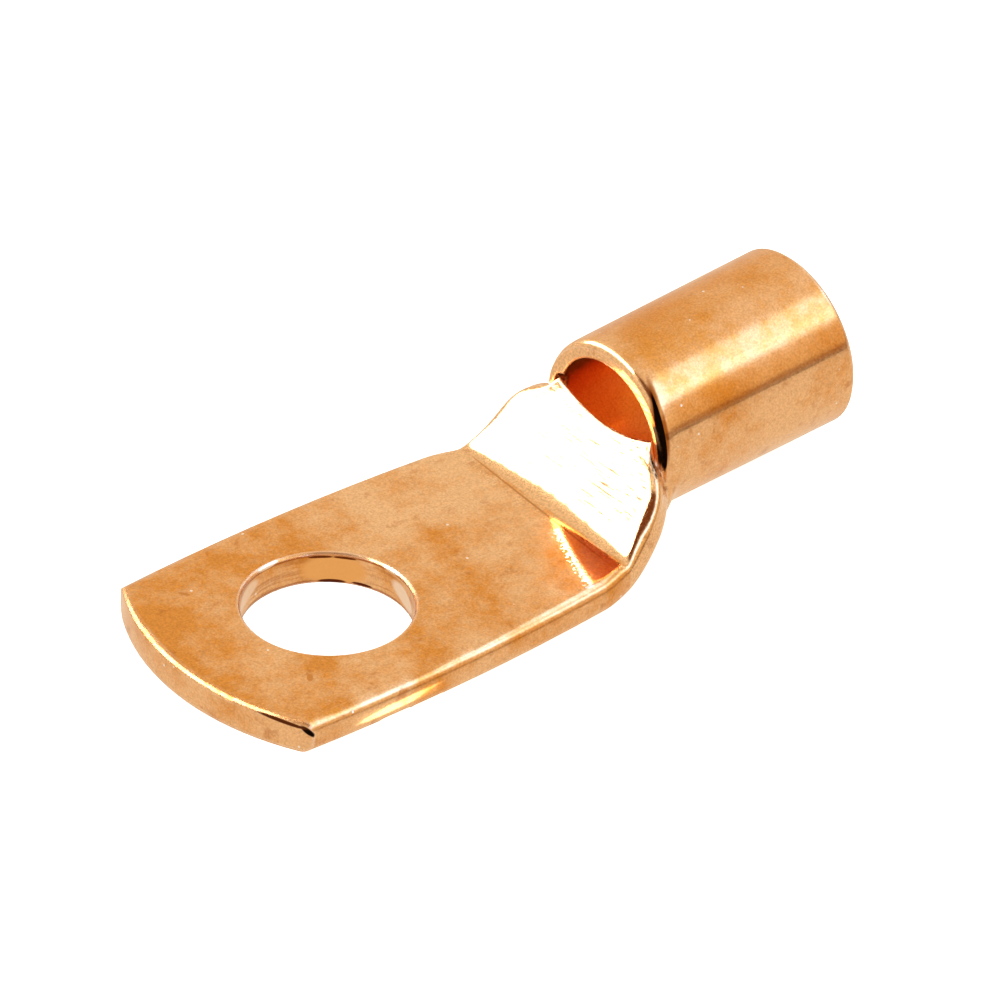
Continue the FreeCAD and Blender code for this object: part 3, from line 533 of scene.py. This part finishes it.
def rubbed_edges(tree, along):
    """Normal with rounded edges, and one where the surface turns within that rounding."""
    radius = add_node(tree, "ShaderNodeMapRange", {"Value": along, **EDGE_RADIUS})
    rounded = add_node(tree, "ShaderNodeBevel", {"Radius": radius.outputs[0]}, samples=EDGE_SAMPLES)
    surface = add_node(tree, "ShaderNodeNewGeometry")
    turned = add_node(tree, "ShaderNodeVectorMath", {
        0: rounded.outputs[0], 1: surface.outputs["Normal"]}, operation="DOT_PRODUCT")
    rubbed = add_node(tree, "ShaderNodeMapRange", {"Value": turned.outputs["Value"], **EDGE_TURN})
    return rounded.outputs[0], rubbed.outputs[0]


def painted_crease_reflections(tree, angle, off_axis, from_window):
    """Painted dark reflection beside the lip, along its rolled shoulder, and a painted brown
    reflection round it.
    """
    closing = add_node(tree, "ShaderNodeMath", {
        0: angle, 1: -CREASE_CLOSING, 2: CREASE_START}, operation="MULTIPLY_ADD")
    line = add_node(tree, "ShaderNodeMath", {0: closing.outputs[0]}, operation="EXPONENT")
    beside = add_node(tree, "ShaderNodeMath", {
        0: line.outputs[0], 1: -CREASE_REACH * MM, 2: from_window}, operation="MULTIPLY_ADD")
    outside = add_node(tree, "ShaderNodeMapRange", {"Value": off_axis, **OUTER_WALL})
    layers = []
    for name, middle, half_sizes, fade, shade in CREASE_REFLECTIONS:
        spread = ellipse(tree, (angle, beside.outputs[0]),
                         (math.radians(middle[0]), middle[1] * MM),
                         (math.radians(half_sizes[0]), half_sizes[1] * MM), fade)
        share = add_node(tree, "ShaderNodeMath", {
            0: spread, 1: outside.outputs[0]}, operation="MULTIPLY")
        layers.append((name, share.outputs[0], shade))
    return layers


def small_dents_and_glints(tree, coords):
    """Small round hollows, about a tenth of a millimetre across, in which the copper is painted near
    white as glints.
    """
    cells = add_node(tree, "ShaderNodeTexVoronoi", {
        "Vector": coords, "Scale": 1 / (DENT_SPACING * MM)})
    dents_and_glints = add_node(tree, "ShaderNodeMapRange", {
        "Value": cells.outputs["Distance"], **DENT_LEVELS})
    return dents_and_glints.outputs[0]


def ramp_scratches(tree, coords, along, across):
    """Scratches across the ramp, more of them towards its near side."""
    on_ramp = add_node(tree, "ShaderNodeMath", {
        0: band(tree, along, *SCRATCHED_ALONG), 1: band(tree, across, *SCRATCHED_ACROSS),
    }, operation="MULTIPLY")
    near_side = add_node(tree, "ShaderNodeMapRange", {"Value": across, **RAMP_NEAR_SIDE})
    share = add_node(tree, "ShaderNodeMath", {
        0: on_ramp.outputs[0], 1: near_side.outputs[0]}, operation="MULTIPLY")
    scratches = add_node(tree, "ShaderNodeMath", {
        0: blotches(tree, coords, *RAMP_SCRATCHES), 1: share.outputs[0]}, operation="MULTIPLY")
    return scratches.outputs[0]


def haze_share(tree, along, stains, border, specks):
    """Share of the hazy reflection: little on the ramp, more on the palm and the barrel."""
    start, end = HAZE[0][0], HAZE[-1][0]
    reach = add_node(tree, "ShaderNodeMapRange", {
        "Value": along, "From Min": start * MM, "From Max": end * MM})
    haze = add_node(tree, "ShaderNodeValToRGB", {0: reach.outputs[0]})
    stops = haze.color_ramp.elements
    for place, _ in HAZE[1:-1]:
        stops.new((place - start) / (end - start))
    for stop, (_, level) in zip(stops, HAZE):
        stop.color = (level, level, level, 1.0)
    filmed = add_node(tree, "ShaderNodeMath", {
        0: stains, 1: STAIN_HAZE, 2: haze.outputs[0]}, operation="MULTIPLY_ADD")
    broken = add_node(tree, "ShaderNodeMapRange", {"Value": specks, **SPECK_HAZE})
    share = add_node(tree, "ShaderNodeMix", {
        0: border, 2: filmed.outputs[0], 3: broken.outputs[0]}, data_type="FLOAT")
    return share.outputs[0]


def lay_over(tree, colour, layers):
    """Colour with each layer laid over it in turn, as far as the layer's share says."""
    for name, share, shade in layers:
        colour = add_node(tree, "ShaderNodeMix", {
            0: share, 6: colour, 7: linear(shade)}, data_type="RGBA", label=name).outputs[2]
    return colour


def pressed_copper():
    """Copper tube, drawn, pressed and handled: bright, with a thin hazy film and orange stains.

    To the eye it is a warm mirror, sharp on the pressed ramp and dulled on the palm and barrel.
    """
    material = bpy.data.materials.new("pressed_copper")
    tree = new_tree(material)
    coords = add_node(tree, "ShaderNodeTexCoord").outputs["Object"]
    along, across, height = add_node(tree, "ShaderNodeSeparateXYZ", {0: coords}).outputs
    angle, off_axis, from_window = barrel_coordinates(tree, coords)
    clouds = blotches(tree, coords, *CLOUDS)
    stains = palm_stains(tree, clouds, along, height)
    grain = blotches(tree, coords, *GRAIN)
    border, specks = bend_polish_and_glints(tree, coords, along, across)
    normal, rubbed = rubbed_edges(tree, along)
    dents_and_glints = small_dents_and_glints(tree, coords)
    scratches = ramp_scratches(tree, coords, along, across)

    # Film and stains, all with the grain in them
    spots = add_node(tree, "ShaderNodeMath", {
        0: blotches(tree, coords, *SPOTS), 1: SPOT_SHARE}, operation="MULTIPLY").outputs[0]
    colour = lay_over(tree, linear(COPPER_LIGHT), [
        ("stains", stains, COPPER_STAIN),
        ("spots", spots, COPPER_SPOT),
        ("inside_film", inside_film(tree, off_axis, from_window), COPPER_INSIDE),
        ("barrel_film", barrel_film(tree, clouds, angle, from_window), COPPER_STAIN),
    ])
    shade = add_node(tree, "ShaderNodeMapRange", {"Value": grain, **GRAIN_SHADE})
    colour = add_node(tree, "ShaderNodeMix", {
        0: 1.0, 6: colour, 7: shade.outputs[0]}, data_type="RGBA", blend_type="MULTIPLY").outputs[2]

    # Wear and dirt on top of them, with painted glints, reflections and shade
    # Painted white glints in the specks along the polished border
    bend_glints = add_node(tree, "ShaderNodeMath", {
        0: border, 1: specks}, operation="MULTIPLY").outputs[0]
    worn = add_node(tree, "ShaderNodeMath", {
        0: rubbed, 1: RUBBED_SHARE}, operation="MULTIPLY").outputs[0]
    colour = lay_over(tree, colour, [
        # Painted white glints beside the bend
        ("bend_polish_and_glints", bend_glints, COPPER_PAINTED_GLINT),
        # Punch rings, and painted shade along the hole's top and bottom edges
        ("hole_rings_and_rim_shade", hole_rings_and_rim_shade(tree, coords, along, across, height), COPPER_RING_AND_RIM_SHADE),
        ("rubbed_edges", worn, COPPER_RUBBED),
        # Painted dark and brown reflections beside the lip
        *painted_crease_reflections(tree, angle, off_axis, from_window),
        # Single marks; those at the tip, on the ramp and at the hole are painted reflections, glints
        # and shade
        *[(name, mark(tree, coords, *place), tint) for name, *place, tint in MARKS],
        # Near white glints painted in the small hollows
        ("small_dents_and_glints", dents_and_glints, COPPER_DENT_GLINT),
        ("ramp_scratches", scratches, COPPER_SCRATCH),
    ])

    # Relief, from the broadest to the finest
    for relief, thousandths in (
            (blotches(tree, coords, *WAVES), WAVE_HEIGHT),
            (blotches(tree, coords, *DRAW_LINES), DRAW_LINE_HEIGHT),
            (grain, GRAIN_HEIGHT),
            (scratches, SCRATCH_HEIGHT),
            (dents_and_glints, DENT_HEIGHT)):
        normal = add_node(tree, "ShaderNodeBump", {
            "Height": relief, "Distance": thousandths * MM / 1000, "Normal": normal}).outputs[0]

    # Two reflections in one: a sharp one, and a hazy one from the film over it
    gloss = add_node(tree, "ShaderNodeMath", {
        0: stains, 1: STAIN_ROUGHNESS, 2: SHARP_ROUGHNESS}, operation="MULTIPLY_ADD")
    dull = add_node(tree, "ShaderNodeMath", {
        0: rubbed, 1: RUBBED_SMOOTHING, 2: HAZY_ROUGHNESS}, operation="MULTIPLY_ADD")
    sharp, hazy = [
        add_node(tree, "ShaderNodeBsdfPrincipled", {
            "Base Color": colour, "Metallic": 1.0, "Roughness": roughness.outputs[0],
            "Normal": normal})
        for roughness in (gloss, dull)]
    surface = add_node(tree, "ShaderNodeMixShader", {
        0: haze_share(tree, along, stains, border, specks), 1: sharp.outputs[0], 2: hazy.outputs[0]})
    add_node(tree, "ShaderNodeOutputMaterial", {"Surface": surface.outputs[0]})
    return material


# The scene
scene = bpy.context.scene
scene.view_settings.view_transform = "Standard"
scene.view_settings.look = "None"
add_camera()
add_room()
add_overhead_softbox()
add_table()
metal = pressed_copper()
for slot in frame["nodes"]["lug_body"].material_slots:
    slot.material = metal
